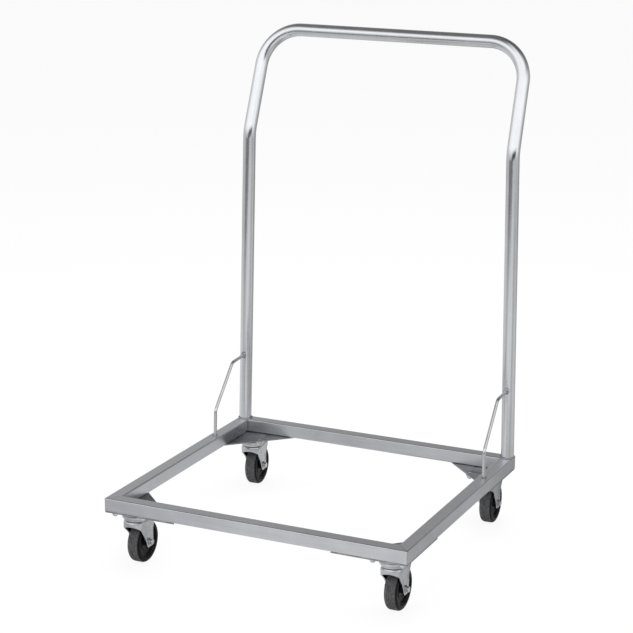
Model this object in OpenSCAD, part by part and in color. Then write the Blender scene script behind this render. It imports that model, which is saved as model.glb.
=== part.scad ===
/* Dish rack dolly: a welded square-tube frame on four swivel casters, pushed by a bent tube handle.
   Origin on the floor, in the middle of the whole dolly from front rail to grip.
   +X to the right, +Y towards the handle, +Z up. */

/* [Frame] */
// Overall width of the frame, left to right
frame_w = 600; // [460:1:800]
// Overall depth of the frame, front to back
frame_d = 560; // [460:1:800]
// Outside size of the square tube
tube_w = 25.4; // [22:0.1:32]
// Wall of the square tube
tube_wall = 1.5; // [1:0.1:3]
// Outside corner radius of the square tube
tube_round = 2.2; // [1:0.1:4]
// Radius ground on the four mitred corners of the frame
corner_round = 2.5; // [1:0.1:6]

/* [Gusset plates] */
// Leg of each triangular gusset plate, along the rails
gusset_leg = 145; // [142:1:180]
// Thickness of the gusset plates
gusset_t = 2.5; // [2:0.1:5]
// Set-back of the gusset plates from the outer faces of the rails
gusset_setback = 1; // [0.5:0.1:3]

/* [Handle] */
// Diameter of the handle tube
handle_d = 25.4; // [20:0.1:30]
// Wall of the handle tube
handle_wall = 1.5; // [1:0.1:3]
// Centreline radius of every bend in the handle
handle_bend = 76; // [50:1:100]
// Height of the rearward bend above the frame
bend_h = 600; // [450:1:700]
// Height of the grip's centreline above the frame
grip_h = 798; // [750:1:950]
// Rearward lean of the upper part of the handle, in degrees
handle_lean = 21; // [10:1:35]
// Distance that each leg leans inwards by the rearward bend
toe_in = 10; // [0:1:30]

/* [Brace rods] */
// Diameter of the brace rods
rod_d = 6.4; // [5:0.1:10]
// Height above the frame at which a rod meets its post
rod_top_h = 138; // [110:1:200]
// Drop of the rod between the post and its first bend
rod_top_drop = 4; // [0:1:15]
// Distance of the first bend in front of the post
rod_first_bend = 50; // [35:1:80]
// Distance of the rod's foot in front of the post
rod_foot = 122; // [90:1:180]
// Height above the frame at which the rod turns down to its foot
rod_low_bend = 52; // [30:1:80]
// Centreline radius of the rod's bends
rod_bend = 16; // [10:1:25]

/* [Weld beads] */
// Leg of the fillet bead around the foot of each post
post_bead = 3; // [1.5:0.1:5]
// Leg of the bead around each end of a brace rod
rod_bead = 2; // [1:0.1:3]

/* [Wheel] */
// Diameter of the tyre
wheel_d = 80; // [70:1:100]
// Width of the tyre
tyre_w = 24; // [20:1:32]
// Radial depth of the tyre
tyre_depth = 10.3; // [7:0.1:13]
// Shoulder radius of the tyre
tyre_round = 5.5; // [3:0.1:6]
// Number of fine grooves around the tread
tread_grooves = 4; // [0:1:6]
// Width of a tread groove
groove_w = 0.9; // [0.5:0.1:1.5]
// Depth of a tread groove
groove_depth = 0.7; // [0.3:0.1:1.2]
// Radial depth of the wheel core's rim
rim_depth = 3.6; // [2.5:0.1:6]
// Width of the wheel core's rim
rim_w = 19; // [16:1:24]
// Thickness of the wheel core's web
web_t = 14; // [8:0.5:16]
// Radius of the wheel core's hub
hub_r = 9; // [7:0.5:10]
// Outside radius of the raised ring on each side of the web
ring_r = 18; // [14:0.5:22]
// Width of that raised ring
ring_w = 2.5; // [1.5:0.1:4]
// Height of that raised ring above the web
ring_h = 1.2; // [0.5:0.1:2]

/* [Axle] */
// Diameter of the axle bolt
axle_d = 6; // [5:0.5:8]
// Outside diameter of the sleeve that the wheel turns on
sleeve_d = 9; // [8.5:0.5:12]
// Width across the flats of the axle bolt's head and nut
axle_af = 10; // [9:0.5:14]
// Height of the axle bolt's head
axle_head_h = 4; // [3:0.5:6]
// Height of the axle nut
axle_nut_h = 6; // [4:0.5:8]
// Length of thread that stands out of the axle nut
axle_tail = 1.5; // [1:0.5:4]
// Diameter of the axle washers
washer_d = 14; // [12.5:0.5:18]
// Thickness of the axle washers
washer_t = 1.2; // [0.8:0.1:2]

/* [Fork] */
// Distance of the axle behind the swivel axis
trail = 25; // [20:1:30]
// Thickness of the fork's pressed steel
fork_t = 2.5; // [2:0.1:3.5]
// Gap between the tyre and each leg
leg_gap = 1.5; // [1:0.1:4]
// Gap between the tyre and the underside of the crown
crown_gap = 10; // [8:0.5:20]
// Radius of the crown's rounded front, around the swivel axis
crown_r = 22.5; // [22:0.5:26]
// Distance from the swivel axis to the outer face of a leg, at the crown
crown_w = 19.5; // [18.5:0.5:21.5]
// Outside bend radius between the crown and the legs
crown_bend = 7; // [5:0.5:8]
// Depth below the crown at which the legs have closed in on the wheel
close_h = 26; // [20:1:34]
// Depth of the turned-down lip at the front of the crown
lip_h = 8; // [5:0.5:12]
// Radius of the arched front edge of each leg
arch_r = 100; // [75:5:200]
// Radius of the rounded end of each leg
leg_end_r = 12; // [12:0.5:14]
// Distance from the axle down to the flat end of each leg
leg_foot = 9.5; // [8:0.5:11]
// Distance from the axle back to the straight rear edge of each leg
leg_rear = 11.5; // [9:0.5:11.5]
// Radius of the notch in the rear edge of the crown
notch_r = 11; // [8:0.5:11]
// Height of the neck between the crown and the race pan
neck_h = 3.5; // [2.5:0.1:4]

/* [Swivel] */
// Outside radius of the race pan on the fork
pan_r = 25; // [24.5:0.5:25.5]
// Thickness of the race pan's floor
pan_t = 2; // [1.5:0.1:3]
// Height of the race pan's rim above its floor
pan_rim = 3.8; // [2:0.1:4.2]
// Overhang of the race pan around the neck below it
pan_overhang = 3; // [1.5:0.1:5]
// Space between the two races of the upper ball row
upper_space = 5; // [4.5:0.1:6]
// Number of balls in the upper row
upper_balls = 18; // [10:1:18]
// Pitch radius of the upper ball row
upper_pitch = 17.5; // [16.8:0.1:18]
// Space between the two races of the lower ball row
lower_space = 4; // [3.6:0.1:4.2]
// Number of balls in the lower row
lower_balls = 12; // [8:1:12]
// Pitch radius of the lower ball row
lower_pitch = 9.3; // [8.9:0.1:9.6]
// Depth that each ball sinks into the groove of its race
ball_sink = 0.2; // [0.1:0.05:0.4]
// Outside radius of the race cup
cup_r = 13; // [12.8:0.1:14]
// Thickness of the race cup's floor
cup_t = 2; // [1.5:0.1:2.5]
// Thickness of the race cup's rim
cup_wall = 1.2; // [0.8:0.1:1.3]
// Diameter of the king pin
pin_d = 10; // [8:0.5:11]
// Diameter of the king pin's two heads
pin_head_d = 16; // [14:0.5:20]
// Height of the king pin's two heads
pin_head_h = 2.5; // [2:0.1:3.5]

/* [Caster plate] */
// Width of the caster's top plate, left to right
plate_w = 72; // [70:1:84]
// Depth of the caster's top plate, front to back
plate_d = 64; // [60:1:72]
// Thickness of the top plate
plate_t = 2.5; // [2:0.1:4]
// Corner radius of the top plate
plate_round = 7; // [4:0.5:12]
// Depth of the dish pressed into the top plate
dish_depth = 4.5; // [4:0.1:8]
// Thickness of the dish, thinned by the pressing
dish_t = 2; // [1.5:0.1:2.5]
// Outside radius of the dish at its lower edge
dish_r = 26.2; // [26:0.1:27]
// Slope of the dish's wall, as growth in radius up to the plate
dish_flare = 2; // [0.5:0.1:3]
// Distance between the studs, left to right
stud_pitch_x = 57; // [54:0.5:60]
// Distance between the studs, front to back
stud_pitch_y = 50; // [46:0.5:52]
// Diameter of the welded studs that hold a caster
stud_d = 6; // [5:0.5:6.5]
// Length of thread that stands out of each stud nut
stud_tail = 2.2; // [1:0.1:3]
// Width across the flats of the stud nuts
nut_af = 10; // [9:0.5:11]
// Height of the stud nuts
nut_h = 5; // [4:0.5:6]
// Distance of a swivel axis from the left or right face of the frame
swivel_in_x = 42.5; // [41:0.5:46]
// Distance of a swivel axis from the front or rear face of the frame
swivel_in_y = 40; // [38:0.5:44]

/* [Rest position] */
// Turn of the front left caster about its swivel, in degrees
turn_front_left = 0; // [-180:1:180]
// Turn of the front right caster about its swivel, in degrees
turn_front_right = 0; // [-180:1:180]
// Turn of the rear left caster about its swivel, in degrees
turn_rear_left = 4; // [-180:1:180]
// Turn of the rear right caster about its swivel, in degrees
turn_rear_right = 2; // [-180:1:180]

/* [Hidden] */
$fn = 96;

// Clearances
turn_gap = 0.3;       // between parts that turn past each other
ball_gap = 0.15;      // around a ball in its groove
thread_gap = 0.15;    // around a bolt or stud in its nut
seat_gap = 0.3;       // around a part pressed or moulded into another
hole_gap = 0.4;       // around a bolt or stud in a plain hole
run_gap = 0.08;       // around the sleeve in the hub
weld_gap = 0.3;       // between a weld bead or rod end and the tube it lies on

// Small details
tube_inside = 0.3;    // least inside corner radius of a tube
bead_land = 0.5;      // width of a weld bead's upper edge
press_edge = 1;       // bevel on the edges of pressed pieces
pin_edge = 1.2;       // bevel on the king pin's heads
bend_thin = 0.03;     // by how much a bent stretch is thinner than a straight one
bend_lap = 0.3;       // how far a straight stretch runs into a bend
ring_sink = 0.3;      // how far the neck sinks into the crown
heel_turn = 190;      // direction from the axle to the point where the arch runs into the leg's end
eps = 0.01;
past = 1;             // how far a cutting shape runs past a face
ball_fn = 24;         // facets around a ball in the preview

// Heights of the caster, from the floor up
wheel_r = wheel_d / 2;
crown_z = wheel_d + crown_gap;               // underside of the crown
neck_z = crown_z + fork_t;                   // top of the crown
pan_z = neck_z + neck_h;                     // underside of the race pan
race_z = pan_z + pan_t;                      // floor of the race pan
dish_z = race_z + upper_space;               // underside of the dish
cup_z = pan_z - lower_space;                 // floor of the race cup
plate_z = dish_z + dish_depth;               // underside of the top plate
caster_h = plate_z + plate_t;
upper_ball_d = upper_space + 2 * ball_sink;
lower_ball_d = lower_space + 2 * ball_sink;

// Widths of the caster
leg_in = tyre_w / 2 + leg_gap;               // inner face of a leg
leg_out = leg_in + fork_t;                   // outer face of a leg
hub_w = 2 * (leg_in - turn_gap);
rim_r = wheel_r - tyre_depth;                // outside of the core's rim
neck_r = pan_r - pan_overhang;
leg_back = trail + leg_rear;                 // rear edge of a leg
close_z = crown_z - close_h;                 // where the legs have closed in on the wheel
fork_low = wheel_r - leg_end_r;              // foot of the outlines that the legs are cut from

// Heights of the frame
gusset_z = caster_h;
frame_z = gusset_z + gusset_t;               // underside of the rails
frame_top = frame_z + tube_w;

// The grip reaches behind the frame, so the frame's middle lies in front of the origin, by half
// that reach to the nearest tenth of a millimetre
lean_back = tan(handle_lean) * (grip_h - bend_h);
frame_y = -round(5 * (lean_back + handle_d / 2 - tube_w / 2)) / 10;
front_y = frame_y - frame_d / 2;
rear_y = frame_y + frame_d / 2;

// Casters: name, place of the swivel axis, turn at rest
swivel_x = frame_w / 2 - swivel_in_x;
CASTERS = [
  ["front_left", -swivel_x, front_y + swivel_in_y, turn_front_left],
  ["front_right", swivel_x, front_y + swivel_in_y, turn_front_right],
  ["rear_left", -swivel_x, rear_y - swivel_in_y, turn_rear_left],
  ["rear_right", swivel_x, rear_y - swivel_in_y, turn_rear_right]
];

// Corners of the handle's centreline, from the left foot over the grip to the right foot
post_x = frame_w / 2 - tube_w / 2;
post_y = rear_y - tube_w / 2;
grip_x = post_x - toe_in * grip_h / bend_h;
grip_y = post_y + lean_back;
HANDLE = [
  [-post_x, post_y, frame_top],
  [-(post_x - toe_in), post_y, frame_top + bend_h],
  [-grip_x, grip_y, frame_top + grip_h],
  [grip_x, grip_y, frame_top + grip_h],
  [post_x - toe_in, post_y, frame_top + bend_h],
  [post_x, post_y, frame_top]
];

// Corners of a brace rod's centreline, in the plane of a side rail, from the post to the foot
rod_post_y = post_y - handle_d / 2;
ROD = [
  [0, post_y, frame_top + rod_top_h],
  [0, rod_post_y - rod_first_bend, frame_top + rod_top_h - rod_top_drop],
  [0, rod_post_y - rod_foot, frame_top + rod_low_bend],
  [0, rod_post_y - rod_foot, frame_top]
];

function unit(v) = v / norm(v);
function leg_x(z) = post_x - toe_in * (z - frame_top) / bend_h;

// A square with rounded corners, centred
module rounded_square(w, d, r) {
  square([w, d - 2 * r], center = true);
  square([w - 2 * r, d], center = true);
  for (x = [-1, 1], y = [-1, 1])
    translate([x * (w / 2 - r), y * (d / 2 - r)]) circle(r);
}

// Turns the Z axis to run from one point towards another
module along(a, b) {
  w = unit(b - a);
  u = unit(abs(w[0]) < 0.9 ? cross([1, 0, 0], w) : cross([0, 0, 1], w));
  v = cross(w, u);
  multmatrix([
    [u[0], v[0], w[0], a[0]],
    [u[1], v[1], w[1], a[1]],
    [u[2], v[2], w[2], a[2]],
    [0, 0, 0, 1]
  ]) children();
}

// Length of a bend's tangent at corner i of a path
function bend_tangent(path, i, r) =
  let (a = unit(path[i] - path[i - 1]), b = unit(path[i + 1] - path[i]))
  r * tan(acos(a * b) / 2);

// A round bar along a path, with every corner bent to radius r. A bend is drawn a hair thinner than
// the straights, which lap into it, so that their surfaces never run together.
module bent_bar(path, d, r) {
  last = len(path) - 1;
  for (i = [0 : last - 1]) {
    w = unit(path[i + 1] - path[i]);
    start = path[i] + w * (i > 0 ? bend_tangent(path, i, r) - bend_lap : 0);
    end = path[i + 1] - w * (i + 1 < last ? bend_tangent(path, i + 1, r) - bend_lap : 0);
    along(start, end) cylinder(h = norm(end - start), d = d);
  }
  for (i = [1 : last - 1]) {
    a = unit(path[i] - path[i - 1]);
    b = unit(path[i + 1] - path[i]);
    angle = acos(a * b);
    inward = unit(b - a * (a * b));
    centre = path[i] - a * bend_tangent(path, i, r) + inward * r;
    axis = cross(-inward, a);
    multmatrix([
      [-inward[0], a[0], axis[0], centre[0]],
      [-inward[1], a[1], axis[1], centre[1]],
      [-inward[2], a[2], axis[2], centre[2]],
      [0, 0, 0, 1]
    ]) rotate_extrude(angle = angle) translate([r, 0]) circle(d = d - bend_thin);
  }
}

// A path whose two ends are lengthened
function lengthened(path, by) =
  let (last = len(path) - 1)
  [for (i = [0 : last])
    i == 0 ? path[0] + unit(path[0] - path[1]) * by
    : i == last ? path[last] + unit(path[last] - path[last - 1]) * by
    : path[i]];

// One side of the frame: square tube, mitred at both ends, outer face towards -Y
module rail(length) {
  inside = tube_w - 2 * tube_wall;
  intersection() {
    rotate([90, 0, 90])
      linear_extrude(length, center = true) difference() {
        rounded_square(tube_w, tube_w, tube_round);
        rounded_square(inside, inside, max(tube_round - tube_wall, tube_inside));
      }
    translate([0, 0, -tube_w]) linear_extrude(2 * tube_w) polygon([
      [-length / 2, -tube_w / 2],
      [length / 2, -tube_w / 2],
      [length / 2 - tube_w, tube_w / 2],
      [tube_w - length / 2, tube_w / 2]
    ]);
    translate([0, length / 2 - tube_w / 2, -tube_w]) linear_extrude(2 * tube_w)
      rounded_square(length, length, corner_round);
  }
}

module front_rail() {
  color("silver") translate([0, front_y + tube_w / 2, frame_z + tube_w / 2]) rail(frame_w);
}

module rear_rail() {
  color("silver") translate([0, rear_y - tube_w / 2, frame_z + tube_w / 2])
    rotate([0, 0, 180]) rail(frame_w);
}

module left_rail() {
  color("silver") translate([-frame_w / 2 + tube_w / 2, frame_y, frame_z + tube_w / 2])
    rotate([0, 0, -90]) rail(frame_d);
}

module right_rail() {
  color("silver") translate([frame_w / 2 - tube_w / 2, frame_y, frame_z + tube_w / 2])
    rotate([0, 0, 90]) rail(frame_d);
}

// Puts its children at the four studs around a swivel axis
module at_studs() {
  for (x = [-1, 1], y = [-1, 1])
    translate([x * stud_pitch_x / 2, y * stud_pitch_y / 2, 0]) children();
}

// Gusset plate welded under a corner of the frame, with holes for the studs
module gusset(caster) {
  sx = sign(caster[1]);
  sy = sign(caster[2] - frame_y);
  corner_x = sx * (frame_w / 2 - gusset_setback);
  corner_y = frame_y + sy * (frame_d / 2 - gusset_setback);
  color("gray") difference() {
    translate([0, 0, gusset_z]) linear_extrude(gusset_t) polygon([
      [corner_x, corner_y],
      [sx * (frame_w / 2 - gusset_leg), corner_y],
      [corner_x, frame_y + sy * (frame_d / 2 - gusset_leg)]
    ]);
    translate([caster[1], caster[2], gusset_z - past])
      at_studs() cylinder(h = gusset_t + 2 * past, d = stud_d + 2 * seat_gap);
  }
}

// The half-space below the top of the frame, as a cutting block
module below_frame_top() {
  translate([-frame_w, -frame_d, 0]) cube([2 * frame_w, 2 * frame_d, frame_top]);
}

module handle() {
  color("lightgray") difference() {
    bent_bar(lengthened(HANDLE, handle_d), handle_d, handle_bend);
    bent_bar(lengthened(HANDLE, 2 * handle_d), handle_d - 2 * handle_wall, handle_bend);
    below_frame_top();
  }
}

// Room for one post, as a cutting bar
module post_room(side) {
  foot = [side * post_x, post_y, frame_top];
  head = [side * (post_x - toe_in), post_y, frame_top + bend_h];
  along(foot - unit(head - foot) * handle_d, head)
    cylinder(h = bend_h / 2, d = handle_d + 2 * weld_gap);
}

// Fillet beads around the feet of the two posts, ground flush with the outer faces of the rails
module post_weld_beads() {
  span = tube_w + post_bead;
  color("darkgray") for (side = [-1, 1]) difference() {
    intersection() {
      translate([side * post_x, post_y, frame_top])
        cylinder(h = post_bead, r1 = handle_d / 2 + post_bead, r2 = handle_d / 2 + weld_gap + bead_land);
      translate([side * (post_x - post_bead / 2), post_y - post_bead / 2, frame_top])
        cube([span, span, 2 * post_bead], center = true);
    }
    post_room(side);
  }
}

// Where a brace rod stands, on the centreline of its side rail
function rod_path(side) =
  [for (p = ROD) [side * leg_x(p[2]), p[1], p[2]]];

module brace_rod(side) {
  color("silver") difference() {
    bent_bar(lengthened(rod_path(side), rod_d), rod_d, rod_bend);
    below_frame_top();
    post_room(side);
  }
}

// A fillet bead around a brace rod that starts at a and runs towards b
module rod_bead_ring(a, b) {
  inner_r = rod_d / 2 + weld_gap;
  outer_r = rod_d / 2 + rod_bead;
  along(a, b) rotate_extrude() polygon([
    [inner_r, -rod_bead],
    [outer_r, -rod_bead],
    [outer_r, bead_land],
    [inner_r + bead_land, rod_bead],
    [inner_r, rod_bead]
  ]);
}

// Weld beads around both ends of the two brace rods
module rod_weld_beads() {
  color("darkgray") for (side = [-1, 1]) {
    path = rod_path(side);
    joint = path[0] + (path[1] - path[0]) * handle_d / 2 / (handle_d / 2 + rod_first_bend);
    difference() {
      rod_bead_ring(path[3], path[2]);
      below_frame_top();
    }
    difference() {
      rod_bead_ring(joint, path[1]);
      post_room(side);
    }
  }
}

module caster_studs() {
  color("gray") for (c = CASTERS) translate([c[1], c[2], 0]) at_studs()
    translate([0, 0, plate_z - nut_h - stud_tail])
      cylinder(h = frame_z - plate_z + nut_h + stud_tail, d = stud_d);
}

// A hexagonal head, its crown side at the origin, with the corners of that side turned off
module hex_head(af, h) {
  intersection() {
    cylinder(h = h, d = af / cos(30), $fn = 6);
    cylinder(h = h, r1 = af / 2, r2 = af / 2 + h);
  }
}

// A hexagonal nut, its crown side at the origin
module hex_nut(af, h, bore) {
  difference() {
    hex_head(af, h);
    translate([0, 0, -past]) cylinder(h = h + 2 * past, d = bore);
  }
}

module caster_stud_nuts() {
  color("silver") for (c = CASTERS) translate([c[1], c[2], plate_z - nut_h]) at_studs()
    hex_nut(nut_af, nut_h, stud_d + 2 * thread_gap);
}

// The groove that a row of balls runs in, as a cutting ring
module ball_groove(pitch, z, ball_d) {
  translate([0, 0, z]) rotate_extrude() translate([pitch, 0])
    circle(d = ball_d + 2 * ball_gap, $fn = 2 * ball_fn);
}

upper_ball_z = race_z + upper_space / 2;
lower_ball_z = cup_z + lower_space / 2;

// Plate with the upper race pressed down out of it as a dish
module top_plate() {
  color("silver") difference() {
    union() {
      translate([0, 0, plate_z]) linear_extrude(plate_t) rounded_square(plate_w, plate_d, plate_round);
      rotate_extrude() polygon([
        [0, dish_z],
        [dish_r, dish_z],
        [dish_r + dish_flare, plate_z + eps],
        [0, plate_z + eps]
      ]);
    }
    // The hollow of the dish
    rotate_extrude() polygon([
      [0, dish_z + dish_t],
      [dish_r - dish_t, dish_z + dish_t],
      [dish_r + dish_flare - dish_t, plate_z + plate_t + past],
      [0, plate_z + plate_t + past]
    ]);
    translate([0, 0, dish_z - past]) cylinder(h = dish_t + 2 * past, d = pin_d + 2 * seat_gap);
    translate([0, 0, plate_z - past]) at_studs() cylinder(h = plate_t + 2 * past, d = stud_d + 2 * hole_gap);
    ball_groove(upper_pitch, upper_ball_z, upper_ball_d);
  }
}

// Rivet through both races, with a head in the dish and one under the race cup
module king_pin() {
  low = cup_z - cup_t - pin_head_h;
  high = dish_z + dish_t + pin_head_h;
  color("darkgray") {
    translate([0, 0, low]) cylinder(h = high - low, d = pin_d);
    translate([0, 0, low]) cylinder(h = pin_head_h, r1 = pin_head_d / 2 - pin_edge, r2 = pin_head_d / 2);
    translate([0, 0, high]) mirror([0, 0, 1])
      cylinder(h = pin_head_h, r1 = pin_head_d / 2 - pin_edge, r2 = pin_head_d / 2);
  }
}

module swivel_balls() {
  color("gray") {
    for (i = [0 : upper_balls - 1]) rotate([0, 0, i * 360 / upper_balls])
      translate([upper_pitch, 0, upper_ball_z]) sphere(d = upper_ball_d, $fn = ball_fn);
    for (i = [0 : lower_balls - 1]) rotate([0, 0, i * 360 / lower_balls])
      translate([lower_pitch, 0, lower_ball_z]) sphere(d = lower_ball_d, $fn = ball_fn);
  }
}

// Cup that holds the lower row of balls up against the race pan
module race_cup() {
  color("darkgray") difference() {
    rotate_extrude() polygon([
      [pin_d / 2 + seat_gap, cup_z - cup_t],
      [cup_r - press_edge, cup_z - cup_t],
      [cup_r, cup_z - cup_t + press_edge],
      [cup_r, cup_z + lower_space / 2],
      [cup_r - cup_wall, cup_z + lower_space / 2],
      [cup_r - cup_wall, cup_z],
      [pin_d / 2 + seat_gap, cup_z]
    ]);
    ball_groove(lower_pitch, lower_ball_z, lower_ball_d);
  }
}

// Point where a line from p touches a circle of radius r about c, on the side given by turn
function touch_point(p, c, r, turn) =
  let (d = c - p, reach = norm(d), a = atan2(d[1], d[0]) + turn * asin(r / reach))
  p + sqrt(reach * reach - r * r) * [cos(a), sin(a)];

// Side outline of the fork, with Y to the right and Z up. The front edge of the legs is an arc from
// the lip's lower edge down to the rounded end.
module fork_side() {
  axle = [trail, wheel_r];
  lip = [-crown_r, crown_z - lip_h];
  heel = axle + leg_end_r * [cos(heel_turn), sin(heel_turn)];
  run = unit(heel - lip);
  sunk = sqrt(arch_r * arch_r - pow(norm(heel - lip) / 2, 2));
  difference() {
    polygon([
      [-crown_r - past, neck_z + past],
      [-crown_r - past, crown_z - lip_h],
      lip,
      heel,
      axle,
      [leg_back, wheel_r],
      [leg_back, neck_z + past]
    ]);
    translate((lip + heel) / 2 + sunk * [run[1], -run[0]]) circle(arch_r);
  }
  intersection() {
    translate(axle) circle(leg_end_r);
    translate([leg_back - 3 * leg_end_r, wheel_r - leg_foot]) square([3 * leg_end_r, 2 * leg_end_r]);
  }
}

// Outline of a sheet bent down on both sides, from the height foot up to top: top_w wide to each side
// below the bends, closing in to low_w
module bent_sheet(top, foot, top_w, low_w, bend) {
  centre = [top_w - bend, top - bend];
  knee = [low_w, close_z];
  shoulder = touch_point(knee, centre, bend, -1);
  polygon([
    [-centre[0], top], [centre[0], top], centre, shoulder, knee, [low_w, foot],
    [-low_w, foot], [-knee[0], knee[1]], [-shoulder[0], shoulder[1]], [-centre[0], centre[1]]
  ]);
  for (side = [-1, 1]) translate([side * centre[0], centre[1]]) circle(bend);
}

// Solid of the fork's outer or inner face: bent down at the sides, round at the front, open behind
module fork_block(top, foot, r, top_w, low_w, bend) {
  round_top = top + bend_thin;
  intersection() {
    rotate([90, 0, 0]) linear_extrude(4 * wheel_d, center = true) bent_sheet(top, foot, top_w, low_w, bend);
    union() {
      rotate_extrude() {
        translate([0, foot - past]) square([r - bend, round_top - foot + past]);
        translate([0, foot - past]) square([r, round_top - bend - foot + past]);
        translate([r - bend, round_top - bend]) circle(bend);
      }
      translate([-wheel_d, 0, foot - past]) cube([2 * wheel_d, 2 * wheel_d, wheel_d]);
    }
  }
}

// Pressed fork: two legs bent down from a crown, with the race pan on top of the crown
module fork() {
  color("silver") difference() {
    union() {
      intersection() {
        rotate([90, 0, 90]) linear_extrude(4 * wheel_d, center = true) fork_side();
        difference() {
          fork_block(neck_z, fork_low, crown_r, crown_w, leg_out, crown_bend);
          fork_block(crown_z, fork_low - past, crown_r - fork_t, crown_w - fork_t, leg_in,
            crown_bend - fork_t);
        }
      }
      rotate_extrude() polygon([
        [0, neck_z - ring_sink],
        [neck_r, neck_z - ring_sink],
        [neck_r, pan_z],
        [pan_r - press_edge, pan_z],
        [pan_r, pan_z + press_edge],
        [pan_r, race_z + pan_rim],
        [pan_r - pan_t, race_z + pan_rim],
        [pan_r - pan_t, race_z],
        [0, race_z]
      ]);
    }
    // Room for the race cup and its balls
    translate([0, 0, cup_z - cup_t - turn_gap])
      cylinder(h = pan_z - cup_z + cup_t + turn_gap, r = cup_r + turn_gap);
    translate([0, 0, crown_z]) cylinder(h = race_z - crown_z + past, d = pin_d + 2 * turn_gap);
    ball_groove(upper_pitch, upper_ball_z, upper_ball_d);
    ball_groove(lower_pitch, lower_ball_z, lower_ball_d);
    translate([0, trail, wheel_r]) rotate([0, 90, 0])
      cylinder(h = 4 * leg_out, d = axle_d + 2 * thread_gap, center = true);
    translate([0, leg_back, crown_z - past]) cylinder(h = fork_t + 2 * past, r = notch_r);
  }
}

// Puts its children at the axle, with Z along the axle towards +X
module at_axle() {
  translate([0, trail, wheel_r]) rotate([0, 90, 0]) children();
}

module axle_bolt() {
  tail = leg_out + washer_t + axle_nut_h + axle_tail;
  head = leg_out + washer_t;
  color("silver") at_axle() {
    translate([0, 0, -tail]) cylinder(h = tail + head + eps, d = axle_d);
    translate([0, 0, head + axle_head_h]) mirror([0, 0, 1]) hex_head(axle_af, axle_head_h);
  }
}

module axle_washers() {
  color("gainsboro") at_axle() for (side = [-1, 1])
    translate([0, 0, side * (leg_out + washer_t / 2)]) difference() {
      cylinder(h = washer_t, d = washer_d, center = true);
      cylinder(h = washer_t + 2 * past, d = axle_d + 2 * hole_gap, center = true);
    }
}

module axle_nut() {
  color("silver") at_axle() translate([0, 0, -leg_out - washer_t - axle_nut_h])
    hex_nut(axle_af, axle_nut_h, axle_d + 2 * thread_gap);
}

module axle_sleeve() {
  color("gray") at_axle() difference() {
    cylinder(h = 2 * leg_in, d = sleeve_d, center = true);
    cylinder(h = 2 * leg_in + 2 * past, d = axle_d + 2 * seat_gap, center = true);
  }
}

// Moulded core: hub, web with a raised ring on each side, and a rim that carries the tyre
module wheel_core() {
  color("dimgray") at_axle() difference() {
    cylinder(h = hub_w, r = rim_r, center = true);
    for (side = [0, 1]) mirror([0, 0, side]) rotate_extrude() polygon([
      [hub_r, web_t / 2],
      [ring_r - ring_w, web_t / 2],
      [ring_r - ring_w, web_t / 2 + ring_h],
      [ring_r, web_t / 2 + ring_h],
      [ring_r, web_t / 2],
      [rim_r - rim_depth, web_t / 2],
      [rim_r - rim_depth, rim_w / 2],
      [rim_r + past, rim_w / 2],
      [rim_r + past, hub_w / 2 + past],
      [hub_r, hub_w / 2 + past]
    ]);
    cylinder(h = hub_w + 2 * past, d = sleeve_d + 2 * run_gap, center = true);
  }
}

// Rubber tyre with rounded shoulders and fine grooves around the tread
module tyre() {
  inner = rim_r + seat_gap;
  flat = tyre_w - 2 * tyre_round;
  color([0.12, 0.12, 0.13]) at_axle() rotate_extrude() difference() {
    union() {
      translate([inner, -flat / 2]) square([wheel_r - inner, flat]);
      translate([inner, -tyre_w / 2]) square([wheel_r - tyre_round - inner, tyre_w]);
      for (side = [-1, 1]) translate([wheel_r - tyre_round, side * flat / 2]) circle(tyre_round);
    }
    translate([0, -tyre_w]) square([inner, 2 * tyre_w]);
    if (tread_grooves > 0) for (i = [0 : tread_grooves - 1])
      translate([wheel_r - groove_depth, (i + 0.5) * flat / tread_grooves - flat / 2 - groove_w / 2])
        square([groove_depth + past, groove_w]);
  }
}

// Puts a caster's piece under its corner, turned about the swivel axis
module placed(caster, turns = true) {
  translate([caster[1], caster[2], 0]) rotate([0, 0, turns ? caster[3] : 0]) children();
}

front_rail();
rear_rail();
left_rail();
right_rail();
handle();
brace_rod(-1);  // left_brace_rod
brace_rod(1);  // right_brace_rod
post_weld_beads();
rod_weld_beads();
caster_studs();
caster_stud_nuts();
for (c = CASTERS) {
  gusset(c);
  placed(c, false) top_plate();
  placed(c, false) king_pin();
  placed(c, false) swivel_balls();
  placed(c, false) race_cup();
  placed(c) fork();
  placed(c) axle_bolt();
  placed(c) axle_washers();
  placed(c) axle_nut();
  placed(c) axle_sleeve();
  placed(c) wheel_core();
  placed(c) tyre();
}
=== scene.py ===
"""Looks of the dish rack dolly: a welded stainless frame on four swivel casters, with a bent push handle.

The sections follow the order in which the dolly is put together. Lengths are in metres, in the CAD's frame.
"""
import math

import bmesh
import bpy
from mathutils import Matrix, Vector, noise


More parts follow.
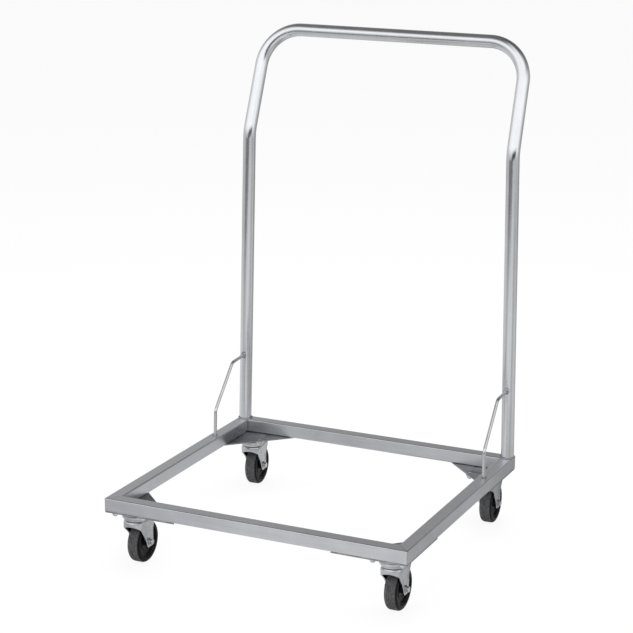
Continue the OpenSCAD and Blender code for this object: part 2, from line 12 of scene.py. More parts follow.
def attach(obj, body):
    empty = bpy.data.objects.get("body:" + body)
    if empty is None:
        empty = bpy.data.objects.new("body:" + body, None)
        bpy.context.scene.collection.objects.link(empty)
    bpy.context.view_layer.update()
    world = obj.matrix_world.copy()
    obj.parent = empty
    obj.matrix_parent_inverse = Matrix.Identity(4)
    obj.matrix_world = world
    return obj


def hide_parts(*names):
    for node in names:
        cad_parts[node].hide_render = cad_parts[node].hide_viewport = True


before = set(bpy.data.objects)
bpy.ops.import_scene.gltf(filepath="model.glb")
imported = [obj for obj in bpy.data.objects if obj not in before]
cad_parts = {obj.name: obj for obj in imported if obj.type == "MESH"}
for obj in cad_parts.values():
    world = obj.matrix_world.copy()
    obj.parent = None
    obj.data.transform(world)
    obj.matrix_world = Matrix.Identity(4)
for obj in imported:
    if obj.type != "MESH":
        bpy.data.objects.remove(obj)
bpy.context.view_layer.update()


# Rails of the frame: four lengths of 1 inch square stainless tube, mitred and welded into a flat
# frame. The tube is satin finished along its length, and each mitre was ground flush, which leaves
# a cloudy patch with a fine seam in it.

FRAME_HALF_W, FRAME_HALF_D, FRAME_Y = 0.300, 0.280, -0.038
TUBE, FRAME_TOP = 0.0254, 0.1379
RAIL_LINE = 1 / 0.0022              # lines per metre: real satin lines are finer, but wouldn't show
RAIL_RUN = 1 / 0.12                 # a line fades in and out over about 12 cm
RAIL_CLOUDS = 28.0                  # per metre: a cloud is about 36 mm wide
RAIL_GRIT = 330.0                   # per metre: the grinding disc left swirls 3 mm wide
PATCH, PATCH_END = 0.005, 0.016     # from a mitre, where its ground patch begins to fade and ends
SEAM, SEAM_END = 0.0004, 0.0014     # the same for its seam
SPREAD = {"From Min": 0.3, "From Max": 0.7}             # most of a noise lies between these
INNER_SPREAD = {"From Min": 0.32, "From Max": 0.68}     # a little inside them, for more contrast


def linear(hex_colour):
    """An sRGB hex colour as linear RGBA."""
    channels = [int(hex_colour[i:i + 2], 16) / 255 for i in (0, 2, 4)]
    return (*(c / 12.92 if c <= 0.04045 else ((c + 0.055) / 1.055) ** 2.4 for c in channels), 1.0)


def node(owner, kind, inputs=None, **settings):
    """Adds a shader node. inputs gives each socket a value, or the output socket that feeds it."""
    made = owner.node_tree.nodes.new("ShaderNode" + kind)
    for name, value in settings.items():
        setattr(made, name, value)
    for key, value in (inputs or {}).items():
        if isinstance(value, bpy.types.NodeSocket):
            owner.node_tree.links.new(value, made.inputs[key])
        else:
            made.inputs[key].default_value = value
    return made


def empty_material(name):
    """A material that has no nodes yet."""
    mat = bpy.data.materials.new(name)
    mat.use_nodes = True
    mat.node_tree.nodes.clear()
    return mat


def dress(name, mat):
    """Gives a CAD node its material."""
    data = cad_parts[name].data
    data.materials.clear()
    data.materials.append(mat)


def satin_tube(name, along):
    """Satin stainless tube: faint lines along it, slow clouds, and ground patches at the mitres."""
    mat = empty_material(name)
    place = node(mat, "TexCoord").outputs["Object"]
    scale = tuple(RAIL_RUN if a else RAIL_LINE for a in along)
    grain = node(mat, "Mapping", {"Vector": place, "Scale": scale}).outputs["Vector"]
    lines = node(mat, "TexNoise", {"Vector": grain, "Scale": 1.0, "Detail": 3.0,
                                   "Roughness": 0.65}).outputs["Fac"]
    clouds = node(mat, "TexNoise", {"Vector": place, "Scale": RAIL_CLOUDS, "Detail": 3.0}).outputs["Fac"]
    grinding = node(mat, "TexNoise", {"Vector": place, "Scale": RAIL_GRIT, "Detail": 2.0,
                                      "Distortion": 1.5}).outputs["Fac"]
    # How far a point is from the diagonal of its corner
    spot = node(mat, "SeparateXYZ", {"Vector": place})
    across = node(mat, "Math", {0: spot.outputs["X"]}, operation="ABSOLUTE").outputs["Value"]
    shifted = node(mat, "Math", {0: spot.outputs["Y"], 1: -FRAME_Y}, operation="ADD").outputs["Value"]
    deep = node(mat, "Math", {0: shifted}, operation="ABSOLUTE").outputs["Value"]
    gap = node(mat, "Math", {0: deep, 1: across}, operation="SUBTRACT").outputs["Value"]
    offset = node(mat, "Math", {0: gap, 1: FRAME_HALF_W - FRAME_HALF_D}, operation="ADD").outputs["Value"]
    away = node(mat, "Math", {0: offset}, operation="ABSOLUTE").outputs["Value"]
    ground = node(mat, "MapRange", {"Value": away, "From Min": PATCH, "From Max": PATCH_END,
                                    "To Min": 1.0, "To Max": 0.0},
                  interpolation_type="SMOOTHSTEP").outputs["Result"]
    seam = node(mat, "MapRange", {"Value": away, "From Min": SEAM, "From Max": SEAM_END,
                                  "To Min": 0.45, "To Max": 0.0}).outputs["Result"]
    surface = node(mat, "Mix", {0: ground, 2: lines, 3: grinding}).outputs[0]
    tone = node(mat, "Mix", {0: 0.45, 2: surface, 3: clouds}).outputs[0]
    spread = node(mat, "MapRange", {"Value": tone, **SPREAD}).outputs["Result"]
    steel = node(mat, "Mix", {0: spread, 6: linear("babbbf"), 7: linear("cccdd1")}, data_type="RGBA").outputs[2]
    marked = node(mat, "Mix", {0: seam, 6: steel, 7: linear("6c6c6e")}, data_type="RGBA").outputs[2]
    gloss = node(mat, "MapRange", {"Value": tone, **SPREAD, "To Min": 0.26, "To Max": 0.36}).outputs["Result"]
    bump = node(mat, "Bump", {"Height": surface, "Strength": 0.12, "Distance": 0.0004}).outputs["Normal"]
    tangent = node(mat, "CombineXYZ", {"X": float(along[0]), "Y": float(along[1]),
                                       "Z": float(along[2])}).outputs["Vector"]
    shader = node(mat, "BsdfPrincipled", {"Base Color": marked, "Metallic": 1.0, "Roughness": gloss,
                                          "Normal": bump, "Tangent": tangent, "Anisotropic": 0.5,
                                          "Anisotropic Rotation": 0.25})
    node(mat, "OutputMaterial", {"Surface": shader.outputs["BSDF"]})
    return mat


satin_across = satin_tube("satin_tube_across", (1, 0, 0))
satin_deep = satin_tube("satin_tube_deep", (0, 1, 0))
for name in ("front_rail", "rear_rail"):
    dress(name, satin_across)
for name in ("left_rail", "right_rail"):
    dress(name, satin_deep)


# Weld beads in the frame's corners: the inside of each mitre was left as welded, an upright bead
# of stainless that is rippled like a row of coins.

BEAD_RIPPLE = 0.0016                # from one ripple to the next
BEAD_END, BEAD_DIP = 0.55, 0.86     # radius at a bead's ends and between two ripples, as a share
BEAD_SIDES = 10
CORNER_BEAD_R = 0.0017
CORNER_BEAD_OUT = 0.0004            # from the corner between the inner faces to the bead's centre
CORNER_BEAD_LOW, CORNER_BEAD_HIGH = 0.001, 0.002    # from the rails' lower and upper faces to its ends
WELD_LUMPS = 420.0                  # per metre: a lump is 2.4 mm wide
# Within this reach the weld gets painted shade
WELD_CREVICE = 0.003                # how near a surface makes a crevice of another


def settle(name, bm, mat, body, slot, *nodes, sharp=40):
    """Makes a piece of a finished bmesh, and says what it rides on, is made of and stands for."""
    bmesh.ops.recalc_face_normals(bm, faces=bm.faces)
    data = bpy.data.meshes.new(name)
    bm.to_mesh(data)
    bm.free()
    data.materials.append(mat)
    data.shade_smooth()
    data.set_sharp_from_angle(angle=math.radians(sharp))
    piece = bpy.data.objects.new(name, data)
    bpy.context.scene.collection.objects.link(piece)
    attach(piece, body)
    if nodes:
        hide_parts(*nodes)


def ring_edges(verts):
    """The edges between the vertices of one ring."""
    ring = set(verts)
    return [e for e in {e for v in verts for e in v.link_edges} if e.verts[0] in ring and e.verts[1] in ring]


def bead(bm, start, end, radius):
    """A straight rippled weld bead that narrows at both ends."""
    run = end - start
    steps = max(4, 2 * round(run.length / BEAD_RIPPLE))
    turn = run.to_track_quat("Z", "Y").to_matrix().to_4x4()
    verts = bmesh.ops.create_circle(bm, cap_ends=True, segments=BEAD_SIDES, radius=radius * BEAD_END,
                                    matrix=Matrix.Translation(start) @ turn)["verts"]
    size = BEAD_END
    for i in range(1, steps + 1):
        grown = bmesh.ops.extrude_edge_only(bm, edges=ring_edges(verts))["geom"]
        verts = [g for g in grown if isinstance(g, bmesh.types.BMVert)]
        bmesh.ops.translate(bm, verts=verts, vec=run / steps)
        wanted = BEAD_END if i == steps else 1.0 if i % 2 else BEAD_DIP
        centre = start + run * i / steps
        bmesh.ops.scale(bm, verts=verts, vec=(wanted / size,) * 3, space=Matrix.Translation(-centre))
        size = wanted
    bmesh.ops.edgeloop_fill(bm, edges=ring_edges(verts))


def weld_metal(name):
    """Brushed-off weld: bright and lumpy, with a grainy skin, and painted shade that darkens it where other
    surfaces are near.
    """
    mat = empty_material(name)
    place = node(mat, "TexCoord").outputs["Object"]
    lumps = node(mat, "TexNoise", {"Vector": place, "Scale": WELD_LUMPS, "Detail": 3.0}).outputs["Fac"]
    clean = node(mat, "Mix", {0: lumps, 6: linear("858587"), 7: linear("b9babd")}, data_type="RGBA").outputs[2]
    # Painted shade: the colour darkens wherever another surface is within WELD_CREVICE, as shade falls in the
    # weld's corners
    crevice = node(mat, "AmbientOcclusion", {"Distance": WELD_CREVICE}, samples=6).outputs["AO"]
    scale = node(mat, "MapRange", {"Value": crevice, "From Min": 0.6, "From Max": 0.25,
                                   "To Min": 0.0, "To Max": 0.8}).outputs["Result"]
    steel = node(mat, "Mix", {0: scale, 6: clean, 7: linear("3a3836")}, data_type="RGBA").outputs[2]
    gloss = node(mat, "MapRange", {"Value": lumps, **SPREAD, "To Min": 0.22, "To Max": 0.42}).outputs["Result"]
    bump = node(mat, "Bump", {"Height": lumps, "Strength": 0.3, "Distance": 0.0006}).outputs["Normal"]
    shader = node(mat, "BsdfPrincipled", {"Base Color": steel, "Metallic": 1.0, "Roughness": gloss,
                                          "Normal": bump})
    node(mat, "OutputMaterial", {"Surface": shader.outputs["BSDF"]})
    return mat


weld = weld_metal("brushed_weld")
bm = bmesh.new()
for side_x in (-1, 1):
    for side_y in (-1, 1):
        corner = Vector((side_x * (FRAME_HALF_W - TUBE - CORNER_BEAD_OUT),
                         FRAME_Y + side_y * (FRAME_HALF_D - TUBE - CORNER_BEAD_OUT), 0))
        bead(bm, corner + Vector((0, 0, FRAME_TOP - TUBE + CORNER_BEAD_LOW)),
             corner + Vector((0, 0, FRAME_TOP - CORNER_BEAD_HIGH)), CORNER_BEAD_R)
settle("frame_corner_beads", bm, weld, "frame", "weld")


# Gusset plates: triangles of 2.5 mm stainless sheet, cut by laser and stitch welded under the
# frame's corners. The sheet keeps its dull rolled finish, with the rolling marks from left to right.

CORNERS = {"front_left": (-1, -1), "front_right": (1, -1), "rear_left": (-1, 1), "rear_right": (1, 1)}
GUSSET_Z = 0.110
STITCH, STITCH_R = 0.018, 0.0013
STITCHES = (0.03, 0.078, 0.122)         # from the frame's corner to the middle of each stitch
STITCH_IN, STITCH_Z = 0.0014, GUSSET_Z + 0.0021     # its centre, in from the rail's face, and its height
SHARP_EDGE = 32                         # degrees: a CAD edge that turns further is rounded
ROLLING_MARKS = (25.0, 380.0, 380.0)    # per metre: 40 mm long and 2.6 mm apart, coarser than real
SHEET_CLOUDS = 22.0                     # per metre: a cloud is about 45 mm wide


def softened(name, new_name, mat, body, slot, width):
    """A copy of a CAD node, merged into clean faces, with its sharp edges rounded by width."""
    bm = bmesh.new()
    bm.from_mesh(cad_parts[name].data)
    bmesh.ops.remove_doubles(bm, verts=bm.verts, dist=0.000004)
    bmesh.ops.dissolve_limit(bm, angle_limit=math.radians(1), verts=bm.verts, edges=bm.edges)
    edges = [e for e in bm.edges
             if len(e.link_faces) == 2 and e.calc_face_angle(0) > math.radians(SHARP_EDGE)]
    bmesh.ops.bevel(bm, geom=edges, offset=width, affect="EDGES", segments=2, profile=0.5, material=-1,
                    clamp_overlap=True)
    settle(new_name, bm, mat, body, slot, name, sharp=SHARP_EDGE)


def rolled_sheet(name):
    """Rolled stainless sheet: dull grey, with short soft rolling marks."""
    mat = empty_material(name)
    place = node(mat, "TexCoord").outputs["Object"]
    along = node(mat, "Mapping", {"Vector": place, "Scale": ROLLING_MARKS}).outputs["Vector"]
    marks = node(mat, "TexNoise", {"Vector": along, "Scale": 1.0, "Detail": 3.0}).outputs["Fac"]
    clouds = node(mat, "TexNoise", {"Vector": place, "Scale": SHEET_CLOUDS, "Detail": 4.0}).outputs["Fac"]
    tone = node(mat, "Mix", {0: 0.55, 2: marks, 3: clouds}).outputs[0]
    spread = node(mat, "MapRange", {"Value": tone, **INNER_SPREAD}).outputs["Result"]
    steel = node(mat, "Mix", {0: spread, 6: linear("88898b"), 7: linear("a3a4a7")}, data_type="RGBA").outputs[2]
    gloss = node(mat, "MapRange", {"Value": tone, **SPREAD, "To Min": 0.3, "To Max": 0.46}).outputs["Result"]
    bump = node(mat, "Bump", {"Height": marks, "Strength": 0.1, "Distance": 0.0004}).outputs["Normal"]
    shader = node(mat, "BsdfPrincipled", {"Base Color": steel, "Metallic": 1.0, "Roughness": gloss,
                                          "Normal": bump})
    node(mat, "OutputMaterial", {"Surface": shader.outputs["BSDF"]})
    return mat


sheet = rolled_sheet("rolled_sheet")
for corner in CORNERS:
    softened(corner + "_gusset", corner + "_gusset_plate", sheet, "frame", "gusset_plate", 0.0003)

# Stitches lie in the groove between the edge of a gusset and the rounded corner of the tube
bm = bmesh.new()
for side_x, side_y in CORNERS.values():
    x, y = side_x * (FRAME_HALF_W - STITCH_IN), FRAME_Y + side_y * (FRAME_HALF_D - STITCH_IN)
    for middle in STITCHES:
        a, b = middle - STITCH / 2, middle + STITCH / 2
        bead(bm, Vector((x, FRAME_Y + side_y * (FRAME_HALF_D - a), STITCH_Z)),
             Vector((x, FRAME_Y + side_y * (FRAME_HALF_D - b), STITCH_Z)), STITCH_R)
        bead(bm, Vector((side_x * (FRAME_HALF_W - a), y, STITCH_Z)),
             Vector((side_x * (FRAME_HALF_W - b), y, STITCH_Z)), STITCH_R)
settle("gusset_stitches", bm, weld, "frame", "weld")


# Handle: one length of 1 inch round stainless tube, polished along its length and then bent four
# times. The polishing lines follow the tube around its bends, so they are drawn in its
# straightened form.

HANDLE_R, HANDLE_BEND = 0.0127, 0.076
POST = Vector((0.2873, 0.2293, FRAME_TOP))
REAR_BEND = Vector((0.2773, 0.2293, 0.7379))
GRIP = Vector((0.2740, 0.305305, 0.9359))
BAR_CLOUDS = 30.0                   # per metre: a cloud is about 33 mm wide


def bent_tube(path, radius, bend, sides=48, bend_steps=16):
    """A closed round bar along a path whose corners are bent.

    Its vertices remember where they were in the straight bar, and which way the bar runs there."""
    bm = bmesh.new()
    straight = bm.verts.layers.float_vector.new("straight")
    along = bm.verts.layers.float_vector.new("along")
    heading = (path[1] - path[0]).normalized()
    verts = bmesh.ops.create_circle(bm, cap_ends=True, segments=sides, radius=radius)["verts"]
    for v in verts:
        v[straight] = v.co
        v[along] = heading
    facing = heading.to_track_quat("Z", "Y").to_matrix().to_4x4()
    bmesh.ops.transform(bm, matrix=Matrix.Translation(path[0]) @ facing, verts=verts)
    at = path[0]
    for i in range(1, len(path)):
        last = i == len(path) - 1
        ahead = heading if last else (path[i + 1] - path[i]).normalized()
        angle = heading.angle(ahead)
        stop = path[i] - heading * bend * math.tan(angle / 2)
        grown = bmesh.ops.extrude_edge_only(bm, edges=ring_edges(verts))["geom"]
        verts = [g for g in grown if isinstance(g, bmesh.types.BMVert)]
        bmesh.ops.translate(bm, verts=verts, vec=stop - at)
        for v in verts:
            v[straight] += Vector((0, 0, (stop - at).length))
        if not last:
            axis = heading.cross(ahead).normalized()
            centre = stop + axis.cross(heading) * bend
            for _ in range(bend_steps):
                turned = bmesh.ops.spin(bm, geom=ring_edges(verts), cent=centre, axis=axis, dvec=(0, 0, 0),
                                        angle=angle / bend_steps, steps=1, use_merge=False,
                                        use_normal_flip=False, use_duplicate=False)["geom_last"]
                verts = [g for g in turned if isinstance(g, bmesh.types.BMVert)]
                heading = Matrix.Rotation(angle / bend_steps, 3, axis) @ heading
                for v in verts:
                    v[straight] += Vector((0, 0, bend * angle / bend_steps))
                    v[along] = heading
            heading = ahead
            at = path[i] + heading * bend * math.tan(angle / 2)
    bmesh.ops.edgeloop_fill(bm, edges=ring_edges(verts))
    return bm


def polished_bar(name, line, run, dark, light, gloss_low, gloss_high):
    """Round stainless bar with lines along it that follow its bends, line apart and run long."""
    mat = empty_material(name)
    place = node(mat, "Attribute", attribute_name="straight").outputs["Vector"]
    grain = node(mat, "Mapping", {"Vector": place, "Scale": (1 / line, 1 / line, 1 / run)}).outputs["Vector"]
    lines = node(mat, "TexNoise", {"Vector": grain, "Scale": 1.0, "Detail": 3.0,
                                   "Roughness": 0.6}).outputs["Fac"]
    clouds = node(mat, "TexNoise", {"Vector": place, "Scale": BAR_CLOUDS, "Detail": 3.0}).outputs["Fac"]
    tone = node(mat, "Mix", {0: 0.4, 2: lines, 3: clouds}).outputs[0]
    spread = node(mat, "MapRange", {"Value": tone, **SPREAD}).outputs["Result"]
    steel = node(mat, "Mix", {0: spread, 6: linear(dark), 7: linear(light)}, data_type="RGBA").outputs[2]
    gloss = node(mat, "MapRange", {"Value": tone, **SPREAD, "To Min": gloss_low,
                                   "To Max": gloss_high}).outputs["Result"]
    bump = node(mat, "Bump", {"Height": lines, "Strength": 0.1, "Distance": 0.0004}).outputs["Normal"]
    tangent = node(mat, "Attribute", attribute_name="along").outputs["Vector"]
    shader = node(mat, "BsdfPrincipled", {"Base Color": steel, "Metallic": 1.0, "Roughness": gloss,
                                          "Normal": bump, "Tangent": tangent, "Anisotropic": 0.4,
                                          "Anisotropic Rotation": 0.25})
    node(mat, "OutputMaterial", {"Surface": shader.outputs["BSDF"]})
    return mat


# Real polishing lines are finer than these and the rods', but wouldn't show
polished = polished_bar("polished_tube", line=0.0026, run=0.25, dark="c8c9cc", light="d9dadd",
                        gloss_low=0.17, gloss_high=0.25)
left = Vector((-1, 1, 1))
bm = bent_tube([left * POST, left * REAR_BEND, left * GRIP, GRIP, REAR_BEND, POST], HANDLE_R, HANDLE_BEND)
settle("push_handle", bm, polished, "frame", "handle_tube", "handle")


# Weld beads around the posts: the handle's feet stand on two corners of the frame. Each foot has a
# rippled fillet of stainless around it, ground away where the post is flush with the tube's outside.

POST_BEAD = 0.0021                              # radius of the bead
POST_BEAD_OUT, POST_BEAD_UP = 0.0004, 0.0002    # its centre, from the post's skin and the rail's top
POST_BEAD_STEPS = 176
RIPPLE_MIDDLE, RIPPLE_SWING = 0.93, 0.07        # how its radius rises and falls, as shares

bm = bmesh.new()
for side in (-1, 1):
    foot = Vector((side * POST.x, POST.y, FRAME_TOP))
    one = bmesh.new()
    circle = bmesh.ops.create_circle(one, cap_ends=False, segments=BEAD_SIDES, radius=POST_BEAD)["verts"]
    upended = Matrix.Rotation(math.pi / 2, 4, "X")
    bmesh.ops.transform(one, matrix=Matrix.Translation((HANDLE_R + POST_BEAD_OUT, 0, POST_BEAD_UP)) @ upended,
                        verts=circle)
    bmesh.ops.spin(one, geom=one.edges[:], cent=(0, 0, 0), axis=(0, 0, 1), dvec=(0, 0, 0),
                   angle=2 * math.pi, steps=POST_BEAD_STEPS, use_merge=True, use_normal_flip=False,
                   use_duplicate=False)
    ripples = round(2 * math.pi * HANDLE_R / BEAD_RIPPLE)
    for v in one.verts:
        turn = math.atan2(v.co.y, v.co.x)
        middle = Vector((math.cos(turn), math.sin(turn), 0)) * (HANDLE_R + POST_BEAD_OUT)
        v.co = middle + (v.co - middle) * (RIPPLE_MIDDLE + RIPPLE_SWING * math.cos(ripples * turn))
    bmesh.ops.translate(one, verts=one.verts, vec=foot)
    # Cut away below the rail's top and outside the frame's two outer faces
    for point, normal in ((foot, (0, 0, -1)), (Vector((side * FRAME_HALF_W, 0, 0)), (side, 0, 0)),
                          (Vector((0, FRAME_Y + FRAME_HALF_D, 0)), (0, 1, 0))):
        cut = bmesh.ops.bisect_plane(one, geom=one.verts[:] + one.edges[:] + one.faces[:], dist=1e-7,
                                     plane_co=point, plane_no=normal, clear_outer=True, clear_inner=False)
        rim = [g for g in cut["geom_cut"] if isinstance(g, bmesh.types.BMEdge)]
        bmesh.ops.holes_fill(one, edges=rim)
    data = bpy.data.meshes.new("half")
    one.to_mesh(data)
    one.free()
    bm.from_mesh(data)
    bpy.data.meshes.remove(data)
settle("post_foot_beads", bm, weld, "frame", "weld", "post_weld_beads")


# Brace rods: a 1/4 inch stainless rod stiffens each post. It was bent twice from drawn bar, which
# is brighter than the tube, and runs from the front of the post down to the side rail.

ROD_R, ROD_BEND = 0.0032, 0.016
ROD_FRONT = POST.y - HANDLE_R
ROD_FIRST_BEND, ROD_FOOT = 0.050, 0.122     # how far in front of the post
ROD = [(POST.y, 0.138), (ROD_FRONT - ROD_FIRST_BEND, 0.134), (ROD_FRONT - ROD_FOOT, 0.052),
       (ROD_FRONT - ROD_FOOT, 0.0)]         # place from front to rear, and height above the frame
ROD_SUNK = 0.001                            # how far a rod's upper end reaches into the post's skin
LEAN_H = 0.6                                # height over which the post leans as far as its rear bend


def rod_points(side):
    """The corners of a brace rod, from the post to its foot. It leans with the post."""
    return [Vector((side * (POST.x - (POST.x - REAR_BEND.x) * h / LEAN_H), y, FRAME_TOP + h))
            for y, h in ROD]


drawn = polished_bar("drawn_rod", line=0.0016, run=0.08, dark="b4b5b8", light="d6d7da",
                     gloss_low=0.16, gloss_high=0.28)
for side, name in ((-1, "left"), (1, "right")):
    path = rod_points(side)
    path[0] = path[0] + (path[1] - path[0]) * ((HANDLE_R - ROD_SUNK) / (HANDLE_R + ROD_FIRST_BEND))
    bm = bent_tube(path, ROD_R, ROD_BEND, sides=24, bend_steps=10)
    settle(name + "_brace", bm, drawn, "frame", "brace_rod", name + "_brace_rod")


# Weld beads on the brace rods: a lump of stainless weld holds each rod to its post, and a small
# flat one, like a ring, holds its foot to the rail.

JOINT_OUT, FOOT_UP = 0.0006, 0.0004         # centres, from the post's skin and the rail's top
JOINT_LUMP, FOOT_LUMP = (0.0058, 0.0034, 0.0066), (0.0052, 0.0052, 0.0024)      # half sizes
LUMPY, LUMP_DETAIL = 0.16, 1.7              # how far a lump's skin rises and falls, and how finely

bm = bmesh.new()
for side in (-1, 1):
    path = rod_points(side)
    joint = path[0] + (path[1] - path[0]).normalized() * (HANDLE_R + JOINT_OUT)
    for centre, size in ((joint, JOINT_LUMP), (path[3] + Vector((0, 0, FOOT_UP)), FOOT_LUMP)):
        lump = bmesh.ops.create_icosphere(bm, subdivisions=4, radius=1.0)["verts"]
        own = Vector((side, centre.z * 40, 0))      # each lump reads the noise at a place of its own
        for v in lump:
            v.co *= 1 + LUMPY * noise.noise(v.co * LUMP_DETAIL + own)
        bmesh.ops.scale(bm, verts=lump, vec=size)
        bmesh.ops.translate(bm, verts=lump, vec=centre)
settle("rod_end_welds", bm, weld, "frame", "weld", "rod_weld_beads")


# Studs and nuts of the casters: four M6 studs are welded through each gusset, and hexagon nuts hold
# the caster's plate up on them. Bright plated steel, with the threads showing below the nuts.

STUD_R, STUD_LOW, STUD_TOP = 0.003, 0.1003, 0.1125
STUD_TAIL = 0.0022                  # how much thread shows below a nut
PLATE_Z, NUT_H = 0.1075, 0.005
STUD_X, STUD_Y = 0.0285, 0.025      # from the swivel's axis
SWIVEL_X = 0.2575
SWIVEL_Y = {-1: -0.278, 1: 0.202}   # front and rear
THREAD_PITCH, THREAD_DEPTH, THREAD_SIDES = 0.001, 0.0005, 20
RIDGE_SUNK, RIDGE_TOP, RIDGE_FOOT = 0.0002, 0.00045, 0.0009     # into the core, and along the bolt
# Within this reach the plating gets painted shade
CREVICE = 0.0035                    # how near a surface makes a crevice of another
PLATING_GRAIN = 900.0               # per metre: 1.1 mm, coarser than the zinc's, which wouldn't show


def plated_steel(name, dark, light, gloss_low, gloss_high, patch):
    """Bright zinc plating on steel: a cool white metal, mottled by the bath, with patch-wide clouds.

    Painted shade darkens its crevices, wherever another surface is near."""
    mat = empty_material(name)
    place = node(mat, "TexCoord").outputs["Object"]
    clouds = node(mat, "TexNoise", {"Vector": place, "Scale": 1 / patch, "Detail": 3.0,
                                    "Roughness": 0.5}).outputs["Fac"]
    grain = node(mat, "TexNoise", {"Vector": place, "Scale": PLATING_GRAIN, "Detail": 2.0}).outputs["Fac"]
    tone = node(mat, "Mix", {0: 0.15, 2: clouds, 3: grain}).outputs[0]
    spread = node(mat, "MapRange", {"Value": tone, **INNER_SPREAD}).outputs["Result"]
    clean = node(mat, "Mix", {0: spread, 6: linear(dark), 7: linear(light)}, data_type="RGBA").outputs[2]
    # Painted shade: darker wherever another surface is within CREVICE, as in the swivel's gaps and around nuts
    # and heads
    crevice = node(mat, "AmbientOcclusion", {"Distance": CREVICE}, samples=6).outputs["AO"]
    painted_crevice_shade = node(mat, "MapRange", {"Value": crevice, "From Min": 0.65, "From Max": 0.25,
                                  "To Min": 0.0, "To Max": 0.9}).outputs["Result"]
    zinc = node(mat, "Mix", {0: painted_crevice_shade, 6: clean, 7: linear("2e2d2c")}, data_type="RGBA").outputs[2]
    gloss = node(mat, "MapRange", {"Value": tone, **SPREAD, "To Min": gloss_low,
                                   "To Max": gloss_high}).outputs["Result"]
    bump = node(mat, "Bump", {"Height": clouds, "Strength": 0.05, "Distance": 0.0003}).outputs["Normal"]
    shader = node(mat, "BsdfPrincipled", {"Base Color": zinc, "Metallic": 1.0, "Roughness": gloss,
                                          "Normal": bump})
    node(mat, "OutputMaterial", {"Surface": shader.outputs["BSDF"]})
    return mat


plated = plated_steel("zinc_plated_fastener", "b7b8bb", "dcdde0", gloss_low=0.18, gloss_high=0.32,
                      patch=0.004)


def thread(bm, place, radius, length):
    """The threaded end of a bolt: a ridge wound around a plain core."""
    core_r = radius - THREAD_DEPTH
    bmesh.ops.create_cone(bm, cap_ends=True, segments=THREAD_SIDES, radius1=core_r, radius2=core_r,
                          depth=length, matrix=place @ Matrix.Translation((0, 0, length / 2)))
    turns = max(1, math.floor(length / THREAD_PITCH) - 0.5)
    section = ((core_r - RIDGE_SUNK, 0.0), (radius, RIDGE_TOP), (core_r - RIDGE_SUNK, RIDGE_FOOT))
    ridge = [bmesh.ops.create_vert(bm, co=place @ Vector((r, 0, z)))["vert"][0] for r, z in section]
    edges = [bm.edges.new((ridge[i], ridge[(i + 1) % 3])) for i in range(3)]
    bm.faces.new(ridge)
    axis = place.to_3x3() @ Vector((0, 0, 1))
    wound = bmesh.ops.spin(bm, geom=edges, cent=place.translation, axis=axis,
                           dvec=axis * THREAD_PITCH / THREAD_SIDES, angle=2 * math.pi * turns,
                           steps=round(THREAD_SIDES * turns), use_merge=False, use_normal_flip=False,
                           use_duplicate=False)["geom_last"]
    bm.faces.new([g for g in wound if isinstance(g, bmesh.types.BMVert)])


bm = bmesh.new()
for side_x, side_y in CORNERS.values():
    for x in (-STUD_X, STUD_X):
        for y in (-STUD_Y, STUD_Y):
            at = Vector((side_x * SWIVEL_X + x, SWIVEL_Y[side_y] + y, STUD_LOW))
            thread(bm, Matrix.Translation(at), STUD_R, STUD_TAIL)
            middle = Vector((at.x, at.y, (STUD_TOP + PLATE_Z - NUT_H) / 2))
            bmesh.ops.create_cone(bm, cap_ends=True, segments=24, radius1=STUD_R, radius2=STUD_R,
                                  depth=STUD_TOP - PLATE_Z + NUT_H, matrix=Matrix.Translation(middle))
settle("stud_threads", bm, plated, "frame", "stud_steel", "caster_studs")
softened("caster_stud_nuts", "stud_nuts", plated, "frame", "stud_steel", 0.00025)


# Caster top plates, race cups and king pins: the upper race of each swivel is a dish pressed down
# out of the top plate, and the lower row of balls runs in a small cup. All are bright zinc plated
# steel, held by a riveted pin.

zinc = plated_steel("bright_zinc", "adafb2", "c6c8cb", gloss_low=0.2, gloss_high=0.3, patch=0.012)
for corner in CORNERS:
    softened(corner + "_top_plate", corner + "_race_plate", zinc, "frame", "zinc_plate", 0.0003)
    softened(corner + "_race_cup", corner + "_lower_race", zinc, "frame", "zinc_plate", 0.0002)
    softened(corner + "_king_pin", corner + "_rivet", plated, "frame", "pin_steel", 0.0004)


# Swivel balls: polished bearing steel, in the film of dark grease that the races are packed with.
# The film is thicker in some places than in others, which makes the balls cloudy.

GREASE_CLOUDS = 260.0               # per metre: a cloud is about 4 mm wide

balls = empty_material("greased_balls")
place = node(balls, "TexCoord").outputs["Object"]
film = node(balls, "TexNoise", {"Vector": place, "Scale": GREASE_CLOUDS, "Detail": 2.0}).outputs["Fac"]
shade = node(balls, "Mix", {0: film, 6: linear("4a4843"), 7: linear("8d8c89")}, data_type="RGBA").outputs[2]
wet = node(balls, "MapRange", {"Value": film, "To Min": 0.1, "To Max": 0.3}).outputs["Result"]
shader = node(balls, "BsdfPrincipled", {"Base Color": shade, "Metallic": 1.0, "Roughness": wet})
node(balls, "OutputMaterial", {"Surface": shader.outputs["BSDF"]})
for corner in CORNERS:
    dress(corner + "_swivel_balls", balls)


# Forks: each is one pressing of 2.5 mm steel with a race pan on its crown, zinc plated. Its sheared
# edges are slightly rounded by the tumbling before plating, and catch the light.

for corner in CORNERS:
    softened(corner + "_fork", corner + "_caster_fork", zinc, corner + "_swivel", "zinc_plate", 0.00045)


# Axles: an M6 bolt through a steel sleeve, with a washer under its head and one under its nut. All
# are zinc plated, and the nut clamps the sleeve between the legs of the fork.

